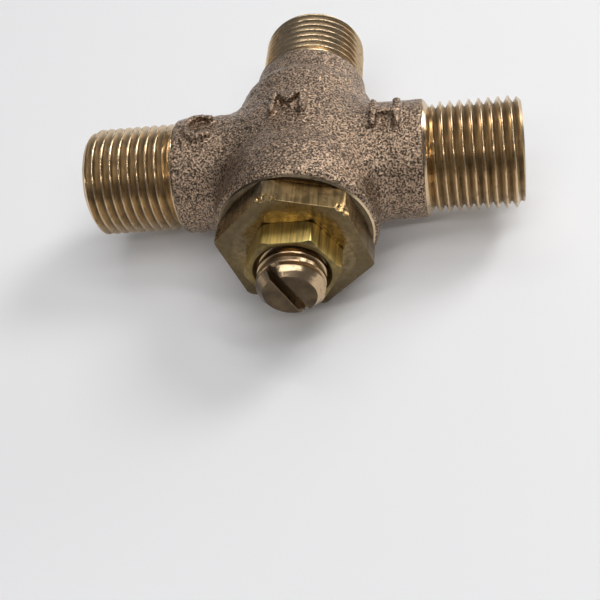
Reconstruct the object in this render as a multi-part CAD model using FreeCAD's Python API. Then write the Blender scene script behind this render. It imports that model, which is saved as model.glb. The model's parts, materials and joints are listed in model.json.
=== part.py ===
"""Thermostatic mixing valve: a cast tee with three half-inch male ports and a slotted stem.

Millimetres. The origin is where the axes of the three ports cross. +X runs out of the hot port,
-X out of the cold port, +Y out of the mixed outlet and -Y out of the bonnet. +Z is the side that
carries the raised port letters. Cold water enters over one end of a sleeve, the shuttle, and hot
water over the other end. A wax element moves the shuttle, and the stem sets where it works.
"""
import FreeCAD, Part
import math
import os
from FreeCAD import Vector

os.makedirs("parts", exist_ok=True)

# Ports: half-inch taper pipe threads, 14 to the inch, held to their crest line
PORT_THREAD_R = 10.67
PORT_RELIEF_R = 9.8         # turned down behind each thread
PORT_END_BEVEL = 1.0
INLET_REACH = 42.5          # port centre to the end of each inlet
INLET_THREAD_LENGTH = 17.1
INLET_BORE_R = 7.0
INLET_BORE_LENGTH = 25.5    # from the port's end to the stop for its check valve
OUTLET_REACH = 38.0
OUTLET_THREAD_LENGTH = 13.4
OUTLET_BORE_R = 6.6

# Casting
ARM_R = 11.4                # cast part of each inlet arm
NECK_R = 11.7               # cast neck behind the outlet thread
NECK_BEVEL = 1.2
BARREL_R = 14.1
COLLAR_R = 15.7             # raised ring that the bonnet screws into
RIM_R = 15.0
RIM_Y = -18.2               # machined end of the barrel, under the bonnet
COLLAR_LENGTH = 9.6
COLLAR_FLARE = 3.6
RIM_ROUND_LENGTH = 1.4      # over which the collar comes in to its rim
SHOULDER_Y = 14.2           # where the barrel starts to narrow to the neck
SHOULDER_LENGTH = 3.4
CAST_BLEND = 3.0            # fillet where a port leaves the barrel

# Chambers inside the barrel
CHAMBER_R = 11.0
LAND_HALF_LENGTH = 1.4      # land that the shuttle slides in, between the two chambers
HOT_SEAT_Y = 7.0
SEAT_R = 8.2
SPRING_LEDGE_Y = 20.0
WINDOW_R = 5.6              # half-moon way from an inlet into its chamber

# Bonnet, lock nut and stem
BONNET_FLATS = 26.0
BONNET_HEX_LENGTH = 5.1
BONNET_HEX_ANGLE = -16.0
BONNET_THREAD_R = 12.0
SPIGOT_LENGTH = 9.2
SPIGOT_DISH = 0.3           # shallow recess that the lock nut stands in
DISH_LAND = 1.2             # face left between the recess and each flat
DISH_ROOM = 1.6             # round the lock nut, inside the recess
NUT_WALL = 1.6              # left between the thread and each flat
NUT_LENGTH = 5.1
NUT_CHAMFER = 0.7           # flat left outside the flats where the corners are turned off
NUT_LEAD_IN = 0.6
SEAT_CHAMFER = 0.8
EDGE_BREAK = 0.25
STEM_THREAD_R = 6.35
STEM_END_Y = -33.3
STEM_END_R = 4.95
STEM_BORE_R = 4.2
STEM_HEAD_R = 8.0
STEM_HEAD_LENGTH = 4.8
STEM_TRAVEL = 1.8           # each way from the middle
SLOT_WIDTH = 1.9
SLOT_DEPTH = 2.2
SLOT_ANGLE = -67.0

# Overtravel plunger, which gives way if the element pushes too far
PLUNGER_R = 4.1
PLUNGER_HEAD_LENGTH = 2.0
PLUNGER_NOSE_R = 2.4
PLUNGER_NOSE_LENGTH = 2.6
CLIP_THICKNESS = 0.8
CLIP_DEPTH = 0.5
CLIP_GAP = 2.0
WASHER_THICKNESS = 0.5
WASHER_HOLE_R = 1.5
OVERTRAVEL_SPRING_LENGTH = 6.4

# Wax element, its pin and the shuttle
ELEMENT_R = 4.6
ELEMENT_END_Y = 16.5
ELEMENT_BEVEL = 1.5
ELEMENT_NECK_R = 3.0
ELEMENT_NECK_LENGTH = 3.8
FLANGE_R = 6.0
FLANGE_THICKNESS = 1.6
PIN_R = 1.0
PIN_SOCKET = 1.2
ELEMENT_BORE_LENGTH = 10.5
PIN_END_ROOM = 1.0          # left beyond the pin with both strokes used up
SHUTTLE_R = 9.45
SHUTTLE_WALL = 1.1
SHUTTLE_TRAVEL = 0.9        # each way from the middle
HUB_R = 7.2
HUB_THICKNESS = 3.2
HUB_FACE_Y = -0.8
SPOKES = 3
SPOKE_WIDTH = 2.2

# Seals
STEM_RING_SECTION_R = 0.7
BONNET_RING_SECTION_R = 0.45    # its recess stays hidden behind the bonnet's flats
SHUTTLE_RING_SECTION_R = 0.35
SEAT_RING_THICKNESS = 1.5

# Springs
RETURN_SPRING_R = 6.9
RETURN_SPRING_TURNS = 4
OVERTRAVEL_SPRING_R = 3.2
OVERTRAVEL_SPRING_TURNS = 3
CHECK_SPRING_R = 2.7
CHECK_SPRING_TURNS = 4
WIRE_R = 0.45
CHECK_WIRE_R = 0.32

# Check valve and strainer in each inlet, measured along the port from its stop outwards
CAGE_LENGTH = 12.6
CAGE_WALL = 1.1
CAGE_GUIDE_R = 2.2
CAGE_GUIDE_LENGTH = 2.6
CAGE_ARMS = 2               # crossing at the guide
CAGE_ARM_WIDTH = 1.2
CAGE_WINDOWS = 4
CAGE_WINDOW_WIDTH = 4.8
CAGE_FOOT_RING = 1.2        # solid ring left beside the guide
CAGE_SEAT_RING = 1.4        # and beside the seat
CHECK_SEAT_THICKNESS = 2.0
CHECK_SEAT_R = 3.9
POPPET_R = 4.9
POPPET_THICKNESS = 1.6
POPPET_STEM_R = 1.1
CHECK_TRAVEL = 2.6
SCREEN_THICKNESS = 0.8
SCREEN_RIM = 1.3
SCREEN_HOLE_R = 0.75
SCREEN_HOLES = 8

# Clearances
RUNNING = 0.07              # radial, between pieces that turn or slide in each other
LOOSE = 0.15                # radial, between pieces that only stand in each other
SEATED = 0.05               # end gap between a moving piece and its stop or seat

HOT, COLD = 1, -1
OVERSHOOT = 1.0             # how far a groove's cutter stands past the surface that it opens
NEAR = 0.01                 # radii closer than this are the same

NUT_FLATS = 2 * (STEM_THREAD_R + NUT_WALL)


def turned_y(outline):
    """Solid of revolution about Y from (y, radius) corners."""
    return revolved([Vector(r, y, 0) for y, r in outline], Vector(0, 1, 0))


def turned_x(outline, side=HOT):
    """Solid of revolution about X from (distance out along one inlet, radius) corners."""
    return revolved([Vector(side * x, r, 0) for x, r in outline], Vector(1, 0, 0))


def revolved(corners, axis):
    face = Part.Face(Part.makePolygon(corners + corners[:1]))
    return face.revolve(Vector(0, 0, 0), axis, 360)


def rod_y(radius, start, end):
    return Part.makeCylinder(radius, abs(end - start), Vector(0, min(start, end), 0), Vector(0, 1, 0))


def rod_x(radius, start, end, side=HOT):
    return Part.makeCylinder(radius, end - start, Vector(side * start, 0, 0), Vector(side, 0, 0))


def ring_y(outer, inner, start, end):
    return rod_y(outer, start, end).cut(rod_y(inner, start, end))


def ring_x(outer, inner, start, end, side):
    return rod_x(outer, start, end, side).cut(rod_x(inner, start, end, side))


def seal_y(radius, section, middle):
    """Sealing ring about Y with a six-sided section."""
    corners = []
    for i in range(6):
        turn = math.radians(30 + 60 * i)
        corners.append((middle + section * math.sin(turn), radius + section * math.cos(turn)))
    return turned_y(corners)


def block(low, high):
    return Part.makeBox(*(high[i] - low[i] for i in range(3)), Vector(*low))


def hexagon_y(flats, start, end, angle, outer_r, inner_r):
    """Hexagonal bar along Y, its corners turned off to outer_r at start and to inner_r at end."""
    reach = flats / 2 / math.cos(math.pi / 6)
    corners = []
    for i in range(7):
        turn = math.radians(angle + 60 * i)
        corners.append(Vector(reach * math.cos(turn), start, reach * math.sin(turn)))
    bar = Part.Face(Part.makePolygon(corners)).extrude(Vector(0, end - start, 0))
    outer_drop = (reach - outer_r) * math.tan(math.pi / 6)
    inner_drop = (reach - inner_r) * math.tan(math.pi / 6)
    hood = turned_y([
        (start, 0), (start, outer_r), (start + outer_drop, reach), (end - inner_drop, reach),
        (end, inner_r), (end, 0),
    ])
    return bar.common(hood)


def spring(radius, turns, length, wire=WIRE_R):
    """Coil along Z from z = 0, its four-sided wire kept inside the length."""
    climb = length - 2 * wire
    path = Part.makeHelix(climb / turns, climb, radius)
    corners = []
    for i in range(5):
        turn = math.radians(90 * i)
        corners.append(Vector(radius + wire * math.cos(turn), 0, wire * math.sin(turn)))
    coil = Part.Wire(path.Edges).makePipeShell([Part.makePolygon(corners)], True, True)
    coil.translate(Vector(0, 0, wire))
    return coil


def along_y(shape, start):
    """Stand a piece made along Z on the Y axis, from start upwards in y."""
    shape.rotate(Vector(0, 0, 0), Vector(1, 0, 0), -90)
    shape.translate(Vector(0, start, 0))
    return shape


def along_x(shape, start, side):
    """Stand a piece made along Z on one inlet's axis, from start outwards."""
    shape.rotate(Vector(0, 0, 0), Vector(0, 1, 0), 90 * side)
    shape.translate(Vector(side * start, 0, 0))
    return shape


def save(name, shape):
    if not shape.isValid() or len(shape.Solids) != 1:
        raise RuntimeError(f"{name}: {len(shape.Solids)} solids, valid {shape.isValid()}")
    shape.Solids[0].exportStep(f"parts/{name}.step")


# Places that follow from the sizes
CHECK_STOP_X = INLET_REACH - INLET_BORE_LENGTH
CAP_Y = RIM_Y - BONNET_HEX_LENGTH               # outer face of the bonnet
SPIGOT_END_Y = RIM_Y + SPIGOT_LENGTH            # inner end of the bonnet, on the cold seat ring
COLD_SEAT_Y = SPIGOT_END_Y + SEAT_RING_THICKNESS
SHUTTLE_TOP_Y = COLD_SEAT_Y + SHUTTLE_TRAVEL + SEATED
SHUTTLE_END_Y = HOT_SEAT_Y - SHUTTLE_TRAVEL - SEATED
NUT_Y = CAP_Y + SPIGOT_DISH                     # face that the lock nut stands on
HEAD_END_Y = SPIGOT_END_Y - STEM_TRAVEL - SEATED
HEAD_Y = HEAD_END_Y - STEM_HEAD_LENGTH
GROOVE_Y = (HEAD_Y + HEAD_END_Y) / 2            # middle of the stem's seal groove
CLIP_Y = HEAD_END_Y - CLIP_DEPTH
PLUNGER_Y = CLIP_Y - CLIP_THICKNESS - SEATED
PLUNGER_HEAD_Y = PLUNGER_Y - PLUNGER_HEAD_LENGTH
NOSE_Y = PLUNGER_Y + PLUNGER_NOSE_LENGTH
STEM_BORE_Y = PLUNGER_HEAD_Y - OVERTRAVEL_SPRING_LENGTH - WASHER_THICKNESS
FLANGE_Y = HUB_FACE_Y - FLANGE_THICKNESS
ELEMENT_NECK_Y = FLANGE_Y - ELEMENT_NECK_LENGTH
HUB_END_Y = HUB_FACE_Y + HUB_THICKNESS
SCREEN_X = CHECK_STOP_X + CAGE_LENGTH + CHECK_SEAT_THICKNESS
POPPET_X = CHECK_STOP_X + CAGE_LENGTH - SEATED


def casting_outside():
    """Barrel, collar, neck and three ports, before anything is bored."""
    trunk = rod_y(BARREL_R, RIM_Y, SHOULDER_Y)
    cast = trunk.fuse([inlet_arm(HOT), inlet_arm(COLD)])
    cast = cast.makeFillet(CAST_BLEND, [e for e in cast.Edges if meets_barrel(e)])
    for piece in (collar(), neck_and_outlet(), inlet_port(HOT), inlet_port(COLD)):
        cast = cast.fuse(piece)
    return cast


def collar():
    collar_y = RIM_Y + COLLAR_LENGTH
    return turned_y([
        (RIM_Y, 0), (RIM_Y, RIM_R), (RIM_Y + RIM_ROUND_LENGTH, COLLAR_R), (collar_y, COLLAR_R),
        (collar_y + COLLAR_FLARE, BARREL_R), (collar_y + COLLAR_FLARE, 0),
    ])


def neck_and_outlet():
    thread_y = OUTLET_REACH - OUTLET_THREAD_LENGTH
    return turned_y([
        (SHOULDER_Y, 0), (SHOULDER_Y, BARREL_R), (SHOULDER_Y + SHOULDER_LENGTH, NECK_R),
        (thread_y - NECK_BEVEL, NECK_R), (thread_y, PORT_RELIEF_R), (thread_y, PORT_THREAD_R),
        (OUTLET_REACH - PORT_END_BEVEL, PORT_THREAD_R), (OUTLET_REACH, PORT_THREAD_R - PORT_END_BEVEL),
        (OUTLET_REACH, 0),
    ])


def inlet_arm(side):
    thread_x = INLET_REACH - INLET_THREAD_LENGTH
    return turned_x([
        (0, 0), (0, ARM_R), (thread_x - NECK_BEVEL, ARM_R), (thread_x, PORT_RELIEF_R), (thread_x, 0),
    ], side)


def inlet_port(side):
    thread_x = INLET_REACH - INLET_THREAD_LENGTH
    return turned_x([
        (thread_x - NECK_BEVEL, 0), (thread_x - NECK_BEVEL, PORT_RELIEF_R), (thread_x, PORT_RELIEF_R),
        (thread_x, PORT_THREAD_R), (INLET_REACH - PORT_END_BEVEL, PORT_THREAD_R),
        (INLET_REACH, PORT_THREAD_R - PORT_END_BEVEL), (INLET_REACH, 0),
    ], side)


def meets_barrel(edge):
    """True for the seams where an inlet arm leaves the barrel."""
    middle = edge.valueAt((edge.FirstParameter + edge.LastParameter) / 2)
    on_arm = abs(math.hypot(middle.y, middle.z) - ARM_R) < NEAR
    return on_arm and abs(math.hypot(middle.x, middle.z) - BARREL_R) < NEAR


def valve_body():
    body = casting_outside()
    bonnet_thread = rod_y(BONNET_THREAD_R, RIM_Y, COLD_SEAT_Y)
    recess = 2 * BONNET_RING_SECTION_R + SEATED
    seal_recess = rod_y(BONNET_THREAD_R + recess, RIM_Y, RIM_Y + recess)
    cold_chamber = rod_y(CHAMBER_R, COLD_SEAT_Y, -LAND_HALF_LENGTH)
    land = rod_y(SHUTTLE_R + RUNNING, -LAND_HALF_LENGTH, LAND_HALF_LENGTH)
    hot_chamber = rod_y(CHAMBER_R, LAND_HALF_LENGTH, HOT_SEAT_Y)
    spring_well = rod_y(SEAT_R, HOT_SEAT_Y, SPRING_LEDGE_Y)
    outlet = rod_y(OUTLET_BORE_R, SPRING_LEDGE_Y, OUTLET_REACH)
    cavities = [bonnet_thread, seal_recess, cold_chamber, land, hot_chamber, spring_well, outlet]
    for side in (HOT, COLD):
        cavities.append(rod_x(INLET_BORE_R, CHECK_STOP_X, INLET_REACH, side))
        cavities.append(window(side))
    for cavity in cavities:
        body = body.cut(cavity)
    save("valve_body", body)


def window(side):
    """Half-moon way from an inlet bore to its own chamber only."""
    way = rod_x(WINDOW_R, SHUTTLE_R, CHECK_STOP_X, side)
    first, last = (LAND_HALF_LENGTH, HOT_SEAT_Y) if side == HOT else (COLD_SEAT_Y, -LAND_HALF_LENGTH)
    reach = INLET_REACH
    return way.common(block((-reach, first, -reach), (reach, last, reach)))


def bonnet():
    corner_r = BONNET_FLATS / 2 / math.cos(math.pi / 6)
    hexagon = hexagon_y(BONNET_FLATS, CAP_Y, RIM_Y, BONNET_HEX_ANGLE,
                        corner_r - EDGE_BREAK, BONNET_FLATS / 2 + SEAT_CHAMFER)
    spigot = rod_y(BONNET_THREAD_R - SEATED, RIM_Y, SPIGOT_END_Y)
    shape = hexagon.fuse(spigot)
    chamber_y = HEAD_Y - STEM_TRAVEL - SEATED
    shape = shape.cut(rod_y(STEM_HEAD_R + RUNNING, chamber_y, SPIGOT_END_Y))
    shape = shape.cut(rod_y(STEM_THREAD_R + RUNNING, CAP_Y, chamber_y))
    dish = turned_y([
        (CAP_Y, 0), (CAP_Y, BONNET_FLATS / 2 - DISH_LAND), (NUT_Y, NUT_FLATS / 2 + DISH_ROOM),
        (NUT_Y, 0),
    ])
    save("bonnet", shape.cut(dish))


def lock_nut():
    chamfer_r = NUT_FLATS / 2 + NUT_CHAMFER
    nut = hexagon_y(NUT_FLATS, NUT_Y - NUT_LENGTH, NUT_Y, 0, chamfer_r, chamfer_r)
    nut = nut.cut(rod_y(STEM_THREAD_R + RUNNING, NUT_Y - NUT_LENGTH, NUT_Y))
    lead_in = turned_y([
        (NUT_Y - NUT_LENGTH, 0), (NUT_Y - NUT_LENGTH, STEM_THREAD_R + NUT_LEAD_IN),
        (NUT_Y - NUT_LENGTH + NUT_LEAD_IN, STEM_THREAD_R), (NUT_Y - NUT_LENGTH + NUT_LEAD_IN, 0),
    ])
    save("lock_nut", nut.cut(lead_in))


def adjusting_stem():
    bevel = STEM_THREAD_R - STEM_END_R
    shank = turned_y([
        (STEM_END_Y, 0), (STEM_END_Y, STEM_END_R), (STEM_END_Y + bevel, STEM_THREAD_R),
        (HEAD_Y, STEM_THREAD_R), (HEAD_Y, STEM_HEAD_R), (HEAD_END_Y, STEM_HEAD_R), (HEAD_END_Y, 0),
    ])
    shank = shank.cut(rod_y(STEM_BORE_R, STEM_BORE_Y, HEAD_END_Y))
    clip_groove_r = STEM_BORE_R + CLIP_DEPTH
    shank = shank.cut(ring_y(clip_groove_r, STEM_BORE_R - OVERSHOOT, CLIP_Y - CLIP_THICKNESS, CLIP_Y))
    groove_floor = STEM_HEAD_R - 2 * STEM_RING_SECTION_R - SEATED
    half = STEM_RING_SECTION_R + LOOSE
    shank = shank.cut(ring_y(STEM_HEAD_R + OVERSHOOT, groove_floor, GROOVE_Y - half, GROOVE_Y + half))
    slot = block((-STEM_THREAD_R, STEM_END_Y, -SLOT_WIDTH / 2),
                 (STEM_THREAD_R, STEM_END_Y + SLOT_DEPTH, SLOT_WIDTH / 2))
    slot.rotate(Vector(0, 0, 0), Vector(0, 1, 0), -SLOT_ANGLE)
    save("adjusting_stem", shank.cut(slot))


def stem_seals():
    section = STEM_RING_SECTION_R
    save("stem_seal_ring", seal_y(STEM_HEAD_R - section, section, GROOVE_Y))
    section = BONNET_RING_SECTION_R
    save("bonnet_seal_ring", seal_y(BONNET_THREAD_R + section, section, RIM_Y + section))


def overtravel_parts():
    head = turned_y([
        (PLUNGER_HEAD_Y, 0), (PLUNGER_HEAD_Y, PLUNGER_R), (PLUNGER_Y, PLUNGER_R),
        (PLUNGER_Y, PLUNGER_NOSE_R), (NOSE_Y, PLUNGER_NOSE_R), (NOSE_Y, 0),
    ])
    save("overtravel_plunger", head.cut(rod_y(PIN_R + RUNNING, NOSE_Y - PIN_SOCKET, NOSE_Y)))
    clip = ring_y(STEM_BORE_R + CLIP_DEPTH - SEATED, PLUNGER_NOSE_R + LOOSE, CLIP_Y - CLIP_THICKNESS, CLIP_Y)
    gap = block((0, CLIP_Y - CLIP_THICKNESS, -CLIP_GAP / 2), (2 * STEM_BORE_R, CLIP_Y, CLIP_GAP / 2))
    save("plunger_clip", clip.cut(gap))
    washer_end = STEM_BORE_Y + WASHER_THICKNESS
    save("spring_washer", ring_y(STEM_BORE_R - LOOSE, WASHER_HOLE_R, STEM_BORE_Y, washer_end))
    coil = spring(OVERTRAVEL_SPRING_R, OVERTRAVEL_SPRING_TURNS, OVERTRAVEL_SPRING_LENGTH)
    save("overtravel_spring", along_y(coil, washer_end))


def element_parts():
    body = turned_y([
        (ELEMENT_NECK_Y, 0), (ELEMENT_NECK_Y, ELEMENT_NECK_R), (FLANGE_Y, ELEMENT_NECK_R),
        (FLANGE_Y, FLANGE_R), (HUB_FACE_Y, FLANGE_R), (HUB_FACE_Y, ELEMENT_R),
        (ELEMENT_END_Y - ELEMENT_BEVEL, ELEMENT_R), (ELEMENT_END_Y, ELEMENT_R - ELEMENT_BEVEL),
        (ELEMENT_END_Y, 0),
    ])
    bore = rod_y(PIN_R + RUNNING, ELEMENT_NECK_Y, ELEMENT_NECK_Y + ELEMENT_BORE_LENGTH)
    save("wax_element", body.cut(bore))
    pin_end = ELEMENT_NECK_Y + ELEMENT_BORE_LENGTH - SHUTTLE_TRAVEL - STEM_TRAVEL - PIN_END_ROOM
    save("element_pin", rod_y(PIN_R, NOSE_Y - PIN_SOCKET, pin_end))


def shuttle():
    inside = SHUTTLE_R - SHUTTLE_WALL
    sleeve = ring_y(SHUTTLE_R, inside, SHUTTLE_TOP_Y, SHUTTLE_END_Y)
    hub = rod_y(HUB_R, HUB_FACE_Y, HUB_END_Y)
    spokes = []
    reach = inside + SHUTTLE_WALL / 2
    for i in range(SPOKES):
        spoke = block((0, HUB_FACE_Y, -SPOKE_WIDTH / 2), (reach, HUB_END_Y, SPOKE_WIDTH / 2))
        spoke.rotate(Vector(0, 0, 0), Vector(0, 1, 0), 90 + 360 * i / SPOKES)
        spokes.append(spoke)
    shape = sleeve.fuse([hub] + spokes)
    shape = shape.cut(rod_y(ELEMENT_R + LOOSE, HUB_FACE_Y, HUB_END_Y))
    half = SHUTTLE_RING_SECTION_R + SEATED
    floor = SHUTTLE_R - 2 * SHUTTLE_RING_SECTION_R - SEATED
    shape = shape.cut(ring_y(SHUTTLE_R + OVERSHOOT, floor, -half, half))
    save("shuttle", shape)
    middle_r = SHUTTLE_R - SHUTTLE_RING_SECTION_R
    save("shuttle_seal_ring", seal_y(middle_r, SHUTTLE_RING_SECTION_R, 0))


def seats_and_springs():
    save("cold_seat_ring", ring_y(BONNET_THREAD_R - SEATED, SEAT_R, SPIGOT_END_Y, COLD_SEAT_Y))
    length = SPRING_LEDGE_Y - HUB_END_Y
    save("return_spring", along_y(spring(RETURN_SPRING_R, RETURN_SPRING_TURNS, length), HUB_END_Y))


def check_valve(side, name):
    """Cage, poppet, spring, seat and strainer, pushed into one inlet bore against its stop."""
    outer = INLET_BORE_R - SEATED
    cage_end = CHECK_STOP_X + CAGE_LENGTH
    foot = CHECK_STOP_X + CAGE_GUIDE_LENGTH
    cage = ring_x(outer, outer - CAGE_WALL, CHECK_STOP_X, cage_end, side)
    hub = rod_x(CAGE_GUIDE_R, CHECK_STOP_X, foot, side)
    arms = []
    reach = outer - CAGE_WALL / 2
    for i in range(CAGE_ARMS):
        arm = block((min(side * CHECK_STOP_X, side * foot), -reach, -CAGE_ARM_WIDTH / 2),
                    (max(side * CHECK_STOP_X, side * foot), reach, CAGE_ARM_WIDTH / 2))
        arm.rotate(Vector(0, 0, 0), Vector(1, 0, 0), 45 + 180 * i / CAGE_ARMS)
        arms.append(arm)
    cage = cage.fuse([hub] + arms)
    ends = sorted([side * (foot + CAGE_FOOT_RING), side * (cage_end - CAGE_SEAT_RING)])
    for i in range(CAGE_WINDOWS):
        open_side = block((ends[0], -CAGE_WINDOW_WIDTH / 2, 0), (ends[1], CAGE_WINDOW_WIDTH / 2, 2 * outer))
        open_side.rotate(Vector(0, 0, 0), Vector(1, 0, 0), 360 * i / CAGE_WINDOWS)
        cage = cage.cut(open_side)
    cage = cage.cut(rod_x(POPPET_STEM_R + RUNNING, CHECK_STOP_X, foot, side))
    save(f"{name}_check_cage", cage)

    seat = ring_x(outer, CHECK_SEAT_R, cage_end, cage_end + CHECK_SEAT_THICKNESS, side)
    save(f"{name}_check_seat", seat)

    back = POPPET_X - POPPET_THICKNESS
    poppet = turned_x([
        (CHECK_STOP_X - SEATED + CHECK_TRAVEL, 0), (CHECK_STOP_X - SEATED + CHECK_TRAVEL, POPPET_STEM_R),
        (back, POPPET_STEM_R), (back, POPPET_R), (POPPET_X, POPPET_R), (POPPET_X, 0),
    ], side)
    save(f"{name}_check_poppet", poppet)
    coil = spring(CHECK_SPRING_R, CHECK_SPRING_TURNS, back - foot, CHECK_WIRE_R)
    save(f"{name}_check_spring", along_x(coil, foot, side))

    screen = rod_x(outer, SCREEN_X, SCREEN_X + SCREEN_THICKNESS, side)
    middle_r = (SCREEN_HOLE_R + outer - SCREEN_RIM) / 2
    for i in range(SCREEN_HOLES):
        hole = rod_x(SCREEN_HOLE_R, SCREEN_X, SCREEN_X + SCREEN_THICKNESS, side)
        hole.translate(Vector(0, middle_r, 0))
        hole.rotate(Vector(0, 0, 0), Vector(1, 0, 0), 360 * i / SCREEN_HOLES)
        screen = screen.cut(hole)
    screen = screen.cut(rod_x(SCREEN_HOLE_R, SCREEN_X, SCREEN_X + SCREEN_THICKNESS, side))
    save(f"{name}_strainer", screen)


valve_body()
bonnet()
lock_nut()
adjusting_stem()
stem_seals()
overtravel_parts()
element_parts()
shuttle()
seats_and_springs()
check_valve(HOT, "hot")
check_valve(COLD, "cold")
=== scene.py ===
"""Finish of a wax-element mixing valve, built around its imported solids.

Lengths in this file are millimetres, and are turned into metres where a mesh is made. The casting,
its raised port letters, the cut threads, the dented bonnet, the lock nut and the slotted stem are
meshes of their own. The parts inside keep their solids and get a finish.
"""
import json
import math

import bmesh
import bpy
import numpy as np
import openvdb
from mathutils import Matrix, Vector


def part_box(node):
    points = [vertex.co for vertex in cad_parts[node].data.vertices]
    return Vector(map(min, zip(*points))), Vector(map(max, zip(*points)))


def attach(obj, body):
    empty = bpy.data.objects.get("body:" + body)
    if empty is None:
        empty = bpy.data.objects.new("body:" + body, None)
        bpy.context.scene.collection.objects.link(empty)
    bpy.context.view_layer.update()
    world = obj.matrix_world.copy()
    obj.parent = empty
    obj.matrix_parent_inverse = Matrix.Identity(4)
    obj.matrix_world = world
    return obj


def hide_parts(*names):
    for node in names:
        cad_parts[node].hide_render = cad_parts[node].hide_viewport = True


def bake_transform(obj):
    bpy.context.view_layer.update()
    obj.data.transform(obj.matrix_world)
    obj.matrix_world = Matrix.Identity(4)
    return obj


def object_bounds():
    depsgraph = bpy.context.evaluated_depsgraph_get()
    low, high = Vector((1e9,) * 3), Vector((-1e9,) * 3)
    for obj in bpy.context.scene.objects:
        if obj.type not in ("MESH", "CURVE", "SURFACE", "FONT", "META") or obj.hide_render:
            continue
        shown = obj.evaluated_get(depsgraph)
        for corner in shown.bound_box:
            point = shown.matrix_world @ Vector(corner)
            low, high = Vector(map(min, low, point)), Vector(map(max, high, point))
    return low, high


bl_info = {
    "name": "Mixing Valve Finish",
    "version": (1, 0, 0),
    "blender": (4, 5, 0),
    "location": "View3D > Sidebar > Mixing Valve",
    "description": "Builds the casting, threads, brass pieces and studio of a mixing valve",
    "category": "Object",
}

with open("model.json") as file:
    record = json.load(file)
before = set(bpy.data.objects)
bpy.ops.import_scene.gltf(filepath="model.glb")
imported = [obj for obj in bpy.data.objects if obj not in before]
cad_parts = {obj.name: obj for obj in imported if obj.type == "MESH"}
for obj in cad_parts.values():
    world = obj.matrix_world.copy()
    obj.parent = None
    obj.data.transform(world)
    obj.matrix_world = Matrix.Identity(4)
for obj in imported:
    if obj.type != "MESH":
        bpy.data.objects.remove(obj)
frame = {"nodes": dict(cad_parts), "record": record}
CAD_BOX = [list(corner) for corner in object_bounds()]
MM = 0.001
HOT, OUTLET, COLD, BONNET = 0.0, 90.0, 180.0, -90.0     # turn about Z from +X to each port


def box_mm(node):
    """Lowest and highest corner of a node, in millimetres."""
    return [np.array(corner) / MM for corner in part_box(node)]


def mount(name):
    """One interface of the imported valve."""
    return next(m for m in frame["record"]["mounts"] if m["name"] == name)


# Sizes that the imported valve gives
BODY_LOW, BODY_HIGH = box_mm("valve_body")
INLET_REACH = BODY_HIGH[0]
OUTLET_REACH = BODY_HIGH[1]
COLLAR_R = BODY_HIGH[2]
RIM = -BODY_LOW[1]                      # from the middle to the face under the bonnet
THREAD_R = mount("hot_inlet")["dims"]["r_mm"]
END_BEVEL = 1.0
INLET_THREAD = mount("hot_inlet")["dims"]["length_mm"] + END_BEVEL
OUTLET_THREAD = mount("mixed_outlet")["dims"]["length_mm"] + END_BEVEL
CAP = -box_mm("bonnet")[0][1]
SPIGOT_END = -box_mm("bonnet")[1][1]
SEAL_HIGH = box_mm("bonnet_seal_ring")[1]
SEAL_R, SEAL_INNER = SEAL_HIGH[0] + 0.05, -SEAL_HIGH[1]
NUT_END, NUT_FOOT = -box_mm("lock_nut")[0][1], -box_mm("lock_nut")[1][1]
NUT_FLATS = box_mm("lock_nut")[1][2] - box_mm("lock_nut")[0][2]
STEM_END, STEM_FOOT = -box_mm("adjusting_stem")[0][1], -box_mm("adjusting_stem")[1][1]

# Threads and slot
PORT_PITCH, PORT_DEPTH = 1.814, 1.32
STEM_R, STEM_PITCH, STEM_DEPTH = 6.35, 1.954, 0.85
STEM_CLEARANCE = 0.07                   # round the stem, in the bonnet and the lock nut
SLOT_WIDTH, SLOT_DEPTH, SLOT_ANGLE = 1.9, 2.2, -67.0

# Outside of the casting
ARM_R, NECK_R, RELIEF_R, NECK_BEVEL = 11.4, 11.65, 9.8, 1.2
INLET_CAST_END = INLET_REACH - INLET_THREAD - NECK_BEVEL
OUTLET_CAST_END = OUTLET_REACH - OUTLET_THREAD - NECK_BEVEL
RIM_R, RIM_CHAMFER = 14.95, 0.55
ARM_BLEND, LETTER_BLEND = 4.2, 0.5
CELL = 0.365                            # of the grid that the casting is shaped on
FINE_SHARE, FINE_SEED = 0.75, 5         # of the finest sand marks
LUMPS = ((0.55, 3, 11), (0.75, 7, 23))  # each is (share, cells across, seed)
PIT_SHARE, PIT_START, PIT_CELLS, PIT_SEED = 1.1, 1.5, 4, 31

# Inside of the casting, outwards from the middle
INLET_BORE_R, OUTLET_BORE_R = 7.0, 6.6
SPIGOT_BORE_R, CHAMBER_R = 12.0, 11.0
SEAT_RING = 1.5                         # thickness of the ring under the bonnet's spigot
LAND_R, LAND = 9.52, 1.4                # bore that the shuttle slides in, and half its length
HOT_SEAT_R, HOT_SEAT = 8.2, 7.0
SPRING_LEDGE = 20.0
INLET_STOP, INLET_STEP, OUTLET_STEP = 17.0, 23.2, 22.9
STEP_ROOM = 0.2                         # that a bore is opened by round a port's own sleeve
WINDOW_R, WINDOW_START, WINDOW_END = 5.6, 9.4, 17.1
OVERLAP = 0.1                           # of a cut with the next one
BORED_DEPTH, BORED_FADE = 0.45, 0.3     # under the outside, where a wall counts as bored

# Bonnet and stem
BONNET_FLATS, BONNET_ANGLE = 26.0, -16.0
SPIGOT_R, DISH_DEPTH, DISH_ROOM = 11.95, 0.3, 1.4
CHAMBER_START = 5.8                     # of the stem head's chamber, behind the bonnet's face
BONNET_HOOD, NUT_HOOD = 0.8, 0.55       # chamfer circle past the flats
HOOD_SLOPE = math.tan(math.pi / 6)
HEAD_R, HEAD_LENGTH = 8.0, 4.8
STEM_END_R, STEM_BORE_R, STEM_BORE_LENGTH = 4.95, 4.2, 10.25


# ---------------------------------------------------------------- meshes

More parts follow.
